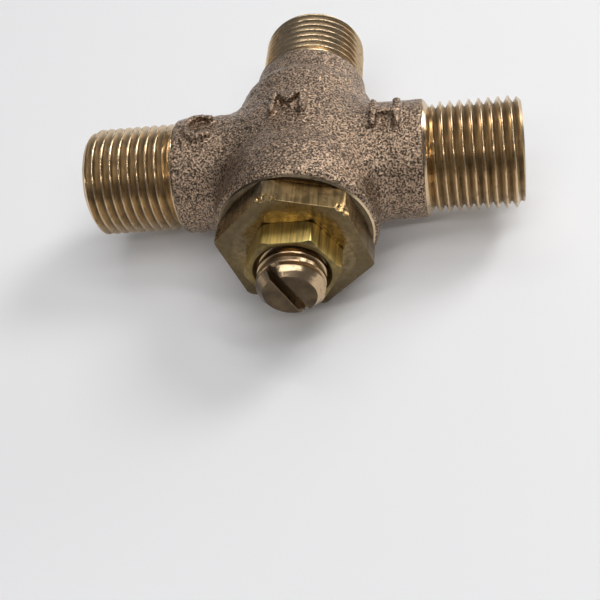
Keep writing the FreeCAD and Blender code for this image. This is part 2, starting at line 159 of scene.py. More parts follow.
def make_piece(name, points, faces, sharp=38.0):
    """Closed, welded piece from points in millimetres. Edges that turn by more than sharp degrees are
    shaded sharp."""
    mesh = bpy.data.meshes.new(name)
    mesh.from_pydata(np.asarray(points) * MM, [], faces)
    shell = bmesh.new()
    shell.from_mesh(mesh)
    bmesh.ops.remove_doubles(shell, verts=shell.verts, dist=0.0005 * MM)
    bmesh.ops.delete(shell, geom=[edge for edge in shell.edges if not edge.link_faces], context="EDGES")
    bmesh.ops.recalc_face_normals(shell, faces=shell.faces)
    open_edges = sum(not edge.is_manifold for edge in shell.edges)
    shell.to_mesh(mesh)
    shell.free()
    if open_edges:
        raise RuntimeError(f"{name}: {open_edges} open edges")
    mesh.shade_smooth()
    mesh.set_sharp_from_angle(angle=math.radians(sharp))
    piece = bpy.data.objects.new(name, mesh)
    bpy.context.scene.collection.objects.link(piece)
    return piece


def points_of(piece):
    """A piece's points in millimetres."""
    co = np.zeros(len(piece.data.vertices) * 3, np.float32)
    piece.data.vertices.foreach_get("co", co)
    return co.reshape(-1, 3) / MM


def mark(piece, name, values):
    """Keeps one number at each point for the finish to read."""
    layer = piece.data.attributes.new(name, "FLOAT", "POINT")
    layer.data.foreach_set("value", np.asarray(values, np.float32))


def mark_faces(piece, name, choose):
    """Keeps on each face the number that choose(centres in millimetres, normals) gives."""
    count = len(piece.data.polygons)
    centres, normals = np.zeros(count * 3, np.float32), np.zeros(count * 3, np.float32)
    piece.data.polygons.foreach_get("center", centres)
    piece.data.polygons.foreach_get("normal", normals)
    values = choose(centres.reshape(-1, 3) / MM, normals.reshape(-1, 3))
    layer = piece.data.attributes.new(name, "FLOAT", "FACE")
    layer.data.foreach_set("value", np.asarray(values, np.float32))


def fit(piece, material, body, slot, *nodes):
    """Finish a piece and stand it in for its solids."""
    piece.data.materials.append(material)
    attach(piece, body)
    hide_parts(*nodes)


def turned(rings, turn, columns=144):
    """Points and faces of a closed skin turned about an axis. Each ring is (distance out, radius), and
    either may differ round the axis. The axis is X turned about Z by turn degrees."""
    angle = 2 * math.pi * np.arange(columns + 1) / columns
    out = np.array([np.broadcast_to(ring[0], columns + 1) for ring in rings])
    radius = np.array([np.broadcast_to(ring[1], columns + 1) for ring in rings])
    points = np.stack([out, radius * np.cos(angle), radius * np.sin(angle)], -1)
    swing = np.array(Matrix.Rotation(math.radians(turn), 3, "Z"))
    points = points @ swing.T
    rows = np.arange(len(rings))
    row, column = np.meshgrid(rows, np.arange(columns), indexing="ij")
    after = (row + 1) % len(rings)
    width = columns + 1
    faces = np.stack([row * width + column, row * width + column + 1,
                      after * width + column + 1, after * width + column], -1)
    return points.reshape(-1, 3), faces.reshape(-1, 4).tolist()


# Share of one pitch, and drop from the crest there as a share of the depth
PORT_FORM = ((0.0, 0.0), (0.05, 0.02), (0.10, 0.09), (0.15, 0.22), (0.43, 0.94), (0.50, 1.0), (0.57, 0.94),
             (0.85, 0.22), (0.90, 0.09), (0.95, 0.02))
STEM_FORM = ((0.0, 0.0), (0.40, 0.0), (0.47, 0.12), (0.62, 0.95), (0.68, 1.0), (0.76, 1.0), (0.82, 0.95),
             (0.94, 0.12))


def thread_rings(start, end, pitch, crest_r, depth, form, limit, columns=144):
    """Rings that climb one pitch a turn. form gives the drop from the crest round one pitch, and limit
    the largest radius at each place."""
    turns = np.arange(columns + 1) / columns
    shares = [share for share, drop in form] + [1.0]
    drops = [drop for share, drop in form] + [form[0][1]]
    rings = []
    for count in range(math.floor(start / pitch) - 1, math.ceil(end / pitch) + 1):
        for share, _ in form:
            out = np.clip((count + share + turns) * pitch, start, end)
            phase = (out / pitch - turns) % 1.0
            phase = np.where(np.abs(phase - 1.0) < 1e-7, 0.0, phase)
            radius = crest_r - depth * np.interp(phase, shares, drops)
            rings.append((out, np.minimum(radius, limit(out))))
    return rings


def hexagon_r(flats, angle, columns, soft=0.15):
    """Radius of a hexagonal bar round its axis, its edges a little rounded."""
    turn = np.radians(360.0 * np.arange(columns + 1) / columns - angle)
    turn = (turn + math.pi / 6) % (math.pi / 3) - math.pi / 6     # 0 at a corner
    radius = flats / 2 / np.cos(math.pi / 6 - np.abs(turn))
    corner = flats / 2 / math.cos(math.pi / 6) - soft
    return -soft * 0.6 * np.log(np.exp(-radius / (soft * 0.6)) + np.exp(-corner / (soft * 0.6)))


# ---------------------------------------------------------------- the casting's shape

def merge(first, second, blend):
    """Union of two distance fields with a rounded seam."""
    h = np.maximum(blend - np.abs(first - second), 0.0) / blend
    return np.minimum(first, second) - h * h * blend * 0.25


def barrel_field(x, y, z):
    """Barrel, collar, shoulder and neck."""
    # each pair is (distance along Y, radius)
    profile = ((-RIM, RIM_R), (-RIM + 1.4, COLLAR_R - 0.22), (-9.6, COLLAR_R - 0.25), (-8.5, COLLAR_R - 0.5),
               (-5.1, 14.35), (-3.6, 14.1), (13.6, 14.05), (14.8, 13.7), (17.1, 12.0), (18.2, NECK_R),
               (24.6, 11.45))
    at, size = zip(*profile)
    line = np.linspace(-RIM, 25.0, 400)
    window = 11
    padded = np.pad(np.interp(line, at, size), window // 2, mode="edge")
    smooth = np.convolve(padded, np.ones(window) / window, "valid")
    slope = 0.93                        # keeps the field near a true distance on the flared parts
    skin = (np.hypot(x, z) - np.interp(y, line, smooth)) * slope
    return np.maximum(skin, np.maximum(-RIM - y, y - OUTLET_CAST_END))


def stroke(x, y, start, end):
    """Distance from a straight pen stroke."""
    ax, ay = start
    bx, by = end[0] - ax, end[1] - ay
    along = np.clip(((x - ax) * bx + (y - ay) * by) / (bx * bx + by * by), 0, 1)
    return np.hypot(x - ax - along * bx, y - ay - along * by)


def letters(x, y, settings):
    """Distance from the pen strokes of the three port letters: C, H and M."""
    narrow, cold_r, opening = 0.86, 3.1, 50
    cold = np.hypot((x + 18.6) / narrow, y - 0.8)
    turn = np.degrees(np.arctan2(y - 0.8, (x + 18.6) / narrow))
    ends = np.minimum(np.hypot(x + 16.9, y - 3.2), np.hypot(x + 16.9, y + 1.6))
    away = np.where(np.abs(turn) > opening, np.abs(cold - cold_r), ends)
    hot = [((15.1, -2.6), (15.1, 3.6)), ((19.5, -2.6), (19.5, 3.6)), ((15.1, 0.5), (19.5, 0.5))]
    mixed = [((-3.9, 0.1), (-3.9, 6.6)), ((-3.9, 6.6), (-0.9, 2.6)), ((-0.9, 2.6), (2.1, 6.6)),
             ((2.1, 6.6), (2.1, 0.1))]
    for start, end in hot + mixed:
        away = np.minimum(away, stroke(x, y, start, end))
    return away - settings.letter_width / MM / 2


def outside_field(x, y, z, settings):
    """Casting before it is bored."""
    arms = np.maximum(np.hypot(y, z) - ARM_R, np.abs(x) - INLET_CAST_END)
    skin = merge(barrel_field(x, y, z), arms, ARM_BLEND)
    raised = np.maximum(letters(x, y, settings), np.maximum(skin - settings.letter_height / MM, -z))
    return merge(skin, raised, LETTER_BLEND)


def bores_field(x, y, z):
    """Everything that is bored out of the casting."""
    round_y, round_x, side = np.hypot(x, z), np.hypot(y, z), np.abs(x)

    def bore(radius, start, end):
        return np.maximum(round_y - radius, np.maximum(start - y, y - end))

    seat = -SPIGOT_END + SEAT_RING
    cuts = [bore(SPIGOT_BORE_R, -RIM - 1, seat), bore(SEAL_R + OVERLAP, -RIM - 1, -SEAL_INNER + OVERLAP),
            bore(CHAMBER_R, seat - OVERLAP, -LAND), bore(LAND_R, -LAND - OVERLAP, LAND + OVERLAP),
            bore(CHAMBER_R, LAND, HOT_SEAT), bore(HOT_SEAT_R, HOT_SEAT - OVERLAP, SPRING_LEDGE),
            bore(OUTLET_BORE_R, SPRING_LEDGE - OVERLAP, OUTLET_STEP),
            bore(OUTLET_BORE_R + STEP_ROOM, OUTLET_STEP - OVERLAP, 26.0),
            np.maximum(round_x - INLET_BORE_R, np.maximum(INLET_STOP - side, side - INLET_STEP)),
            np.maximum(round_x - INLET_BORE_R - STEP_ROOM, INLET_STEP - OVERLAP - side)]
    window = np.maximum(round_x - WINDOW_R, np.maximum(WINDOW_START - side, side - WINDOW_END))
    first, last = np.where(x > 0, LAND, seat), np.where(x > 0, HOT_SEAT, -LAND)
    cuts.append(np.maximum(window, np.maximum(first - y, y - last)))
    deepest = cuts[0]
    for cut in cuts[1:]:
        deepest = np.minimum(deepest, cut)
    return deepest


def soften(field, times):
    """Blur a block of numbers along its three axes."""
    for _ in range(times):
        for axis in range(3):
            field = 0.5 * field + 0.25 * (np.roll(field, 1, axis) + np.roll(field, -1, axis))
    return field


def sand(shape, step, seed):
    """Sand marks: smooth random heights about 0, spread 1, with lumps some step cells across."""
    dice = np.random.default_rng(seed)
    coarse = dice.standard_normal([n // step + 3 for n in shape]).astype(np.float32)
    for axis, n in enumerate(shape):
        where = np.arange(n) / step
        low = where.astype(int)
        share = (where - low).astype(np.float32)
        share = share * share * (3 - 2 * share)
        share = share.reshape([-1 if a == axis else 1 for a in range(3)])
        coarse = np.take(coarse, low, axis) * (1 - share) + np.take(coarse, low + 1, axis) * share
    return coarse / coarse.std()


def casting_mesh(settings):
    """Points and faces of the casting, shaped on a grid of cells."""
    low = np.array([-(INLET_REACH - INLET_THREAD), -RIM - 1.0, -COLLAR_R - 1.0])
    high = np.array([-low[0], OUTLET_REACH - OUTLET_THREAD, COLLAR_R + 1.6])
    axes = [np.arange(low[i], high[i] + CELL, CELL, dtype=np.float32) for i in range(3)]
    x, y, z = np.meshgrid(*axes, indexing="ij", sparse=True)
    skin = outside_field(x, y, z, settings)
    grain = settings.grain_depth / MM
    fine = soften(np.random.default_rng(FINE_SEED).standard_normal(skin.shape).astype(np.float32), 1)
    rough = FINE_SHARE * fine / fine.std()
    for share, cells, seed in LUMPS:
        rough = rough + share * sand(skin.shape, cells, seed)
    pits = np.maximum(sand(skin.shape, PIT_CELLS, PIT_SEED) - PIT_START, 0)
    skin = skin + grain * (rough + PIT_SHARE * pits)
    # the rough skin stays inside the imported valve, and its turned ends stay flat
    skin = np.maximum(skin, np.abs(z) - COLLAR_R + 0.04)
    skin = np.maximum(skin, np.maximum(-RIM + 0.2 - y, y - OUTLET_CAST_END))
    skin = np.maximum(skin, np.abs(x) - INLET_CAST_END)
    # its end is coned to meet the rim's chamfer; 0.7 turns a 45 degree cone into a distance
    cone = (np.hypot(x, z) - RIM_R - 0.05 - (y + RIM) + RIM_CHAMFER) * 0.7
    skin = np.maximum(skin, np.where(y < -RIM + 1.2, cone, -5.0))
    skin = np.maximum(skin, -bores_field(x, y, z))
    grid = openvdb.FloatGrid(1.0)
    grid.copyFromArray(np.ascontiguousarray(np.clip(skin, -2, 2), dtype=np.float32))
    points, triangles, quads = grid.convertToPolygons(0.0, 0.0)
    faces = [list(map(int, face)) for face in triangles] + [list(map(int, face)) for face in quads]
    return np.asarray(points, float) * CELL + low, faces


# ---------------------------------------------------------------- finishes

class Finish:
    """A material with one principled surface, and short ways to add to it."""

    def __init__(self, name, color, metallic, roughness):
        self.material = bpy.data.materials.new(name)
        self.material.use_nodes = True
        self.nodes = self.material.node_tree.nodes
        self.surface = self.nodes["Principled BSDF"]
        self.surface.inputs["Base Color"].default_value = (*color, 1.0)
        self.surface.inputs["Metallic"].default_value = metallic
        self.surface.inputs["Roughness"].default_value = roughness
        self.place = self.nodes.new("ShaderNodeTexCoord").outputs["Object"]
        self.normal = None

    def link(self, output, socket):
        """Lead an output into a socket."""
        self.material.node_tree.links.new(output, socket)

    def noise(self, size, detail=3.0, rough=0.55, stretch=(1, 1, 1)):
        """Blotches about size millimetres across, drawn out along each axis by stretch."""
        scaled = self.nodes.new("ShaderNodeMapping")
        scaled.inputs["Scale"].default_value = [0.5 / (size * MM * s) for s in stretch]
        self.link(self.place, scaled.inputs["Vector"])
        noise = self.nodes.new("ShaderNodeTexNoise")
        noise.inputs["Scale"].default_value = 1.0
        noise.inputs["Detail"].default_value = detail
        noise.inputs["Roughness"].default_value = rough
        self.link(scaled.outputs["Vector"], noise.inputs["Vector"])
        return noise.outputs["Fac"]

    def marked(self, name):
        """The number kept at each point or face under this name, or 0 where there is none."""
        layer = self.nodes.new("ShaderNodeAttribute")
        layer.attribute_name = name
        return layer.outputs["Fac"]

    def spread(self, value, low, high, to_low=0.0, to_high=1.0):
        """Values from low to high, spread over another range and held to it."""
        node = self.nodes.new("ShaderNodeMapRange")
        for socket, number in zip(("From Min", "From Max", "To Min", "To Max"), (low, high, to_low, to_high)):
            node.inputs[socket].default_value = number
        self.link(value, node.inputs["Value"])
        return node.outputs["Result"]

    def tint(self, share, first, second):
        """Colour between two colours, or between outputs."""
        node = self.nodes.new("ShaderNodeMix")
        node.data_type = "RGBA"
        self.link(share, node.inputs[0])
        for socket, color in ((node.inputs[6], first), (node.inputs[7], second)):
            if isinstance(color, (tuple, list)):
                socket.default_value = (*color, 1.0)
            else:
                self.link(color, socket)
        return node.outputs[2]

    def product(self, first, second):
        """One output times another."""
        node = self.nodes.new("ShaderNodeMath")
        node.operation = "MULTIPLY"
        self.link(first, node.inputs[0])
        self.link(second, node.inputs[1])
        return node.outputs[0]

    def bump(self, height, depth, strength=1.0):
        """Raise the surface by up to depth millimetres."""
        node = self.nodes.new("ShaderNodeBump")
        node.inputs["Distance"].default_value = depth * MM
        node.inputs["Strength"].default_value = strength
        self.link(height, node.inputs["Height"])
        if self.normal:
            self.link(self.normal, node.inputs["Normal"])
        self.normal = node.outputs["Normal"]
        self.link(self.normal, self.surface.inputs["Normal"])

    def color(self, output):
        """Use an output as the colour."""
        self.link(output, self.surface.inputs["Base Color"])

    def roughness(self, output):
        """Use an output as the roughness."""
        self.link(output, self.surface.inputs["Roughness"])


# dark brass, painted as a dark reflection on the marked faces of milled brass
SHADE_BRASS = (0.115, 0.085, 0.045)
# dark brown, painted as shade on the marked faces of turned brass
SHADE_BROWN = (0.060, 0.042, 0.024)
BORED_BRONZE = (0.50, 0.38, 0.24)


def darker(color, share):
    """A colour at a share of its strength."""
    return tuple(part * share for part in color[:3])


def lighter(color, share):
    """A colour at more than its strength, held to 1."""
    return tuple(min(part * share, 1) for part in color[:3])


def cast_finish(settings):
    """Sand-cast bronze: bright specks of painted highlight over dark specks of painted shade, and plain bored
    walls.
    """
    base = tuple(settings.cast_color)
    look = Finish("sand cast bronze", base, 0.85, 0.5)
    speck = look.spread(look.noise(0.19, 2.0, 0.6), 0.42, 0.62)
    blot = look.spread(look.noise(2.6, 3.0, 0.6), 0.3, 0.7)
    # painted highlight and shade: the bright specks stand in for glints off the sand, the dark ones for shade
    # in its pits
    glints_and_pit_shade = look.tint(speck, darker(base, 0.22), lighter(base, 2.1))
    stain_and_shade = look.tint(blot, (base[0] * 0.72, base[1] * 0.66, base[2] * 0.6), tuple(base))
    mix = look.nodes.new("ShaderNodeMix")
    mix.data_type = "RGBA"
    mix.blend_type = "MULTIPLY"
    mix.inputs[0].default_value = 0.45
    look.link(glints_and_pit_shade, mix.inputs[6])
    look.link(stain_and_shade, mix.inputs[7])
    look.color(look.tint(look.marked("bored"), mix.outputs[2], BORED_BRONZE))
    look.roughness(look.spread(look.noise(0.5, 2.0), 0.3, 0.7, 0.26, 0.46))
    look.bump(look.noise(0.22, 3.0, 0.6), 0.26, 1.0)
    look.bump(look.noise(1.5, 2.0), 0.25, 0.6)
    return look.material


def turned_finish(name, base, along, roughness=0.20, shade_painted=True):
    """Brass from the lathe: fine rings round the axis, stains, painted shade in the thread grooves and on
    marked faces.
    """
    look = Finish(name, base, 1.0, roughness)
    round_axis = tuple(0.12 if axis == along else 6.0 for axis in range(3))
    rings = look.noise(0.5, 2.0, 0.6, round_axis)
    stain_and_shade = look.spread(look.noise(3.0, 3.0, 0.6), 0.35, 0.72)
    color = look.tint(stain_and_shade, darker(base, 0.78), tuple(base))
    color = look.tint(look.spread(look.noise(0.7, 2.0), 0.58, 0.72), color, darker(base, 0.5))
    if shade_painted:
        # painted shade: the thread grooves are darkened
        groove_shade = look.product(look.marked("groove"), look.spread(look.noise(1.2, 2.0), 0.2, 0.7, 0.5, 1.0))
        color = look.tint(groove_shade, color, darker(base, 0.28))
        # painted shade: the marked faces are turned towards a dark brown
        brown = look.spread(look.noise(1.6, 3.0), 0.35, 0.7, 0.88, 1.0)
        color = look.tint(look.product(look.marked("painted_shade"), brown), color, SHADE_BROWN)
        look.roughness(look.spread(look.marked("groove"), 0.0, 1.0, roughness, 0.45))
    else:
        look.roughness(look.spread(look.noise(0.9, 2.0), 0.3, 0.7, roughness, roughness + 0.14))
    look.color(color)
    look.bump(rings, 0.012, 0.7)
    look.bump(look.noise(0.35, 2.0), 0.02, 0.45)
    return look.material


def bar_finish(name, base, other, roughness):
    """Brass milled from drawn bar: streaks along Y over slow changes of colour, with painted shade on marked
    end faces and bright scars."""
    look = Finish(name, base, 1.0, roughness)
    streak = look.noise(0.45, 3.0, 0.6, (1, 14, 1))
    slow = look.spread(look.noise(9.0, 1.0), 0.36, 0.66)
    color = look.tint(slow, other, tuple(base))
    color = look.tint(look.spread(streak, 0.42, 0.66), color, darker(base, 0.38))
    # painted reflection: the marked end faces are darkened towards a dark brass
    fog = look.spread(look.noise(2.2, 3.0, 0.65), 0.3, 0.75, 0.95, 0.6)
    color = look.tint(look.product(look.marked("painted_shade"), fog), color, SHADE_BRASS)
    scar = look.product(look.marked("worn"), look.spread(look.noise(0.16, 2.0), 0.40, 0.62))
    color = look.tint(scar, color, lighter(base, 2.0))
    look.color(color)
    look.roughness(look.spread(look.noise(0.8, 3.0), 0.3, 0.75, roughness, roughness + 0.16))
    look.bump(streak, 0.02, 0.6)
    look.bump(look.noise(0.5, 3.0), 0.012, 0.5)
    return look.material


def rubber_finish(name):
    """Black rubber, a little uneven."""
    look = Finish(name, (0.018, 0.018, 0.02), 0.0, 0.55)
    look.color(look.tint(look.noise(0.8), (0.012, 0.012, 0.013), (0.035, 0.035, 0.036)))
    look.bump(look.noise(0.2), 0.02, 0.4)
    return look.material


def steel_finish():
    """Drawn wire and stamped sheet."""
    look = Finish("drawn spring steel", (0.55, 0.55, 0.54), 1.0, 0.28)
    look.color(look.tint(look.noise(0.6), (0.40, 0.40, 0.40), (0.66, 0.65, 0.62)))
    look.roughness(look.spread(look.noise(0.3), 0.3, 0.7, 0.2, 0.42))
    look.bump(look.noise(0.15), 0.01, 0.5)
    return look.material


def plastic_finish():
    """Natural white plastic from a mould."""
    look = Finish("moulded acetal", (0.80, 0.79, 0.74), 0.0, 0.42)
    look.color(look.tint(look.noise(2.0), (0.74, 0.73, 0.67), (0.84, 0.83, 0.79)))
    look.roughness(look.spread(look.noise(0.4), 0.3, 0.7, 0.36, 0.52))
    look.bump(look.noise(0.25), 0.015, 0.4)
    return look.material


def copper_finish():
    """Deep-drawn copper with faint lines along Y."""
    look = Finish("drawn copper cup", (0.72, 0.42, 0.28), 1.0, 0.3)
    look.color(look.tint(look.noise(2.0), (0.52, 0.28, 0.18), (0.76, 0.45, 0.30)))
    look.roughness(look.spread(look.noise(0.5), 0.3, 0.7, 0.22, 0.44))
    look.bump(look.noise(0.4, 2.0, 0.6, (1, 8, 1)), 0.012, 0.6)
    return look.material


# ---------------------------------------------------------------- settings

class ValveSettings(bpy.types.PropertyGroup):
    """Sizes and colours of the valve's finish."""
    grain_depth: bpy.props.FloatProperty(
        name="Sand grain", description="Depth of the sand marks in the casting", default=0.055 * MM,
        min=0, unit="LENGTH")
    letter_height: bpy.props.FloatProperty(
        name="Letter height", description="How far the port letters stand off the casting", default=1.3 * MM,
        min=0, unit="LENGTH")
    letter_width: bpy.props.FloatProperty(
        name="Letter stroke", description="Width of a stroke of a port letter", default=1.35 * MM,
        min=0, unit="LENGTH")
    cast_color: bpy.props.FloatVectorProperty(
        name="Casting", description="Colour of the sand-cast bronze", default=(0.41, 0.31, 0.225),
        subtype="COLOR", min=0, max=1)
    port_color: bpy.props.FloatVectorProperty(
        name="Ports", description="Colour of the cut port threads", default=(0.74, 0.56, 0.35),
        subtype="COLOR", min=0, max=1)
    bonnet_color: bpy.props.FloatVectorProperty(
        name="Bonnet", description="Colour of the hexagonal bonnet", default=(0.46, 0.31, 0.135),
        subtype="COLOR", min=0, max=1)
    nut_color: bpy.props.FloatVectorProperty(
        name="Lock nut", description="Colour of the lock nut", default=(0.88, 0.68, 0.24),
        subtype="COLOR", min=0, max=1)
    stem_color: bpy.props.FloatVectorProperty(
        name="Stem", description="Colour of the adjusting stem", default=(0.64, 0.46, 0.28),
        subtype="COLOR", min=0, max=1)


class StudioSettings(bpy.types.PropertyGroup):
    """Floor and lamps."""
    floor_color: bpy.props.FloatVectorProperty(
        name="Floor", description="Colour of the floor", default=(0.90, 0.90, 0.90),
        subtype="COLOR", min=0, max=1)
    lamp_power: bpy.props.FloatProperty(
        name="Lamp power", description="Power of the key lamp", default=2.8, min=0, unit="POWER")


# ---------------------------------------------------------------- pieces

class VALVE_OT_casting(bpy.types.Operator):
    """Sand-cast tee with its raised port letters"""
    bl_idname = "mixing_valve.casting"
    bl_label = "Casting"

    def execute(self, context):
        settings = context.scene.mixing_valve
        points, faces = casting_mesh(settings)
        piece = make_piece("cast_tee", points, faces, 180.0)
        at = points_of(piece)
        skin = outside_field(at[:, 0], at[:, 1], at[:, 2], settings)
        mark(piece, "bored", np.clip((-BORED_DEPTH - skin) / BORED_FADE, 0, 1))
        fit(piece, cast_finish(settings), "valve", "cast_bronze", "valve_body")
        return {"FINISHED"}


def port(name, turn, reach, thread, cast_r, bore_r, material):
    """Machined end of one port: bevel, cut thread, end face and bore."""
    start = reach - thread
    foot = start - NECK_BEVEL
    sleeve = foot - 0.6

    def limit(out):
        washout = RELIEF_R - 0.15 + (out - start) * 1.3
        chamfer = THREAD_R - END_BEVEL + (reach - out)
        return np.minimum(np.minimum(washout, chamfer), THREAD_R)

    rings = [(sleeve, bore_r), (sleeve, cast_r - 0.5), (foot - 0.02, cast_r - 0.15),
             (foot + 0.12, cast_r - 0.2), (start - 0.12, RELIEF_R + 0.1)]
    rings += thread_rings(start, reach, PORT_PITCH, THREAD_R, PORT_DEPTH, PORT_FORM, limit)
    rings += [(reach, bore_r + 0.45), (reach - 0.05, bore_r + 0.36), (reach - 0.42, bore_r)]
    points, faces = turned(rings, turn)
    piece = make_piece(name, points, faces)
    at = points_of(piece)
    axis = 1 if turn == OUTLET else 0
    out = np.abs(at[:, axis])
    radius = np.sqrt((at ** 2).sum(1) - at[:, axis] ** 2)
    # the finish darkens these thread grooves as painted shade, and makes them rougher
    groove = np.clip((THREAD_R - 0.45 - radius) / (PORT_DEPTH - 0.5), 0, 1)
    groove = np.where(out > reach - 0.05, 0.0, groove)
    groove = np.where((radius < bore_r + 0.7) | (out < start + 0.05), 0.0, groove)
    mark(piece, "groove", groove)
    fit(piece, material, "valve", "cast_bronze", "valve_body")


def bonnet_rim(material):
    """Faced and chamfered end of the barrel that the bonnet screws down on."""
    back, foot = RIM - 1.0, RIM - RIM_CHAMFER
    rings = [(RIM, SEAL_R), (RIM, RIM_R - RIM_CHAMFER), (RIM - 0.02, RIM_R - RIM_CHAMFER + 0.03),
             (foot + 0.02, RIM_R - 0.03), (foot, RIM_R), (foot - 0.06, RIM_R), (back, RIM_R - 0.6),
             (back, SEAL_R)]
    points, faces = turned(rings, BONNET)
    piece = make_piece("bonnet_rim", points, faces)
    # painted shade: its face is darkened, and its chamfer is darkened towards the cold side
    mark_faces(piece, "painted_shade", lambda centres, normals: np.where(
        normals[:, 1] < -0.9, 1.0, np.clip(0.3 - centres[:, 0] / 14, 0, 0.9)))
    fit(piece, material, "valve", "cast_bronze", "valve_body")


class VALVE_OT_ports(bpy.types.Operator):
    """Cut pipe threads of the two inlets and the outlet"""
    bl_idname = "mixing_valve.ports"
    bl_label = "Port threads"

    def execute(self, context):
        color = tuple(context.scene.mixing_valve.port_color)
        inlet = turned_finish("cut inlet thread", color, 0)
        outlet = turned_finish("cut outlet thread", color, 1)
        port("hot_port", HOT, INLET_REACH, INLET_THREAD, ARM_R, INLET_BORE_R, inlet)
        port("cold_port", COLD, INLET_REACH, INLET_THREAD, ARM_R, INLET_BORE_R, inlet)
        port("outlet_port", OUTLET, OUTLET_REACH, OUTLET_THREAD, NECK_R, OUTLET_BORE_R, outlet)
        bonnet_rim(outlet)
        return {"FINISHED"}


# Each knock is (turn about the axis, reach along the edge, number of cuts)
KNOCKS = ((99.5, 2.7, 18), (45.0, 1.3, 9))
KNOCK_R, EDGE_R = 14.75, 14.7           # middle of each knock, and the edge that it is spread along
HEX_SHARP = 24.0


def knocked(piece):
    """Wrench marks where two corners of the bonnet's front edge were knocked, as small flat cuts that
    cross each other."""
    at = points_of(piece)
    dice = np.random.default_rng(3)
    worn = np.zeros(len(at))
    for turn, reach, cuts in KNOCKS:
        for _ in range(cuts):
            corner = math.radians(turn + dice.uniform(-1, 1) * math.degrees(reach / EDGE_R))
            outward = np.array([math.cos(corner), 0, math.sin(corner)])
            spot = KNOCK_R * outward + [0, -CAP, 0] + dice.uniform(-0.35, 0.35, 3)
            facing = outward * dice.uniform(0.3, 1.0) + [0, dice.uniform(-1.0, -0.3), 0]
            facing = facing + dice.normal(0, 0.35, 3)
            facing /= np.linalg.norm(facing)
            away = np.linalg.norm(at - spot, axis=1)
            above = (at - spot) @ facing + dice.uniform(0.15, 0.45)
            push = np.clip(above, 0, 0.8) * (away < dice.uniform(0.6, 1.2))
            at = at - push[:, None] * facing
            worn = np.maximum(worn, np.clip(push / 0.15, 0, 1))
    piece.data.vertices.foreach_set("co", (at * MM).astype(np.float32).ravel())
    piece.data.update()
    piece.data.set_sharp_from_angle(angle=math.radians(HEX_SHARP))
    mark(piece, "worn", worn)


# Distances from an edge of the bonnet at which its faces have points that a knock can move
EDGE_STEPS = (2.6, 1.9, 1.35, 0.9, 0.6, 0.36, 0.2, 0.1)


class VALVE_OT_bonnet(bpy.types.Operator):
    """Hexagonal bonnet with its chamfered back and its knocked corners"""
    bl_idname = "mixing_valve.bonnet"
    bl_label = "Bonnet"

    def execute(self, context):
        settings = context.scene.mixing_valve
        columns = 540
        edge = hexagon_r(BONNET_FLATS, BONNET_ANGLE, columns)
        face_r = np.minimum(edge, BONNET_FLATS / 2 / math.cos(math.pi / 6) - 0.3)
        hood = BONNET_FLATS / 2 + BONNET_HOOD
        shoulder = RIM + np.maximum(edge - hood, 0) * HOOD_SLOPE
        shoulder_r = np.minimum(edge - 0.02, hood)
        stem_bore, chamber = STEM_R + STEM_CLEARANCE, HEAD_R + STEM_CLEARANCE
        chamber_end, dish = CAP - CHAMBER_START, CAP - DISH_DEPTH
        rings = [(dish + 0.02, stem_bore), (dish, stem_bore + 0.25), (dish, NUT_FLATS / 2 + DISH_ROOM)]
        rings += [(CAP, np.minimum(11.4, face_r - 2.8))]
        rings += [(CAP, face_r - back) for back in EDGE_STEPS]
        rings += [(CAP - 0.03, face_r - 0.03)]
        rings += [(CAP - drop, edge) for drop in reversed(EDGE_STEPS)]
        rings += [(shoulder + 0.1, edge), (shoulder + 0.03, edge - 0.02), (RIM + 0.03, shoulder_r),
                  (RIM, shoulder_r - 0.05), (RIM, SPIGOT_R), (SPIGOT_END + 0.5, SPIGOT_R),
                  (SPIGOT_END, SPIGOT_R - 0.5), (SPIGOT_END, chamber + 0.2), (SPIGOT_END + 0.2, chamber),
                  (chamber_end, chamber), (chamber_end, stem_bore)]
        points, faces = turned(rings, BONNET, columns)
        piece = make_piece("hex_bonnet", points, faces, HEX_SHARP)
        knocked(piece)
        # painted reflection: the front face is darkened, less so round the lock nut
        mark_faces(piece, "painted_shade", self.shaded_faces)
        # painted reflection: the bonnet's slow greyish green patches stand in for reflections of its
        # surroundings
        material = bar_finish("milled bonnet brass", tuple(settings.bonnet_color), (0.23, 0.19, 0.12), 0.24)
        fit(piece, material, "valve", "machined_brass", "bonnet")
        return {"FINISHED"}

    def shaded_faces(self, centres, normals):
        """Painted dark reflection on the front face, weaker in the recess round the lock nut, so that the
        recess keeps a lighter painted reflection.
        """
        front = (normals[:, 1] < -0.8) & (centres[:, 1] < 1.0 - CAP)
        return front * np.clip((np.hypot(centres[:, 0], centres[:, 2]) - 8.6) / 3.0, 0.25, 1)


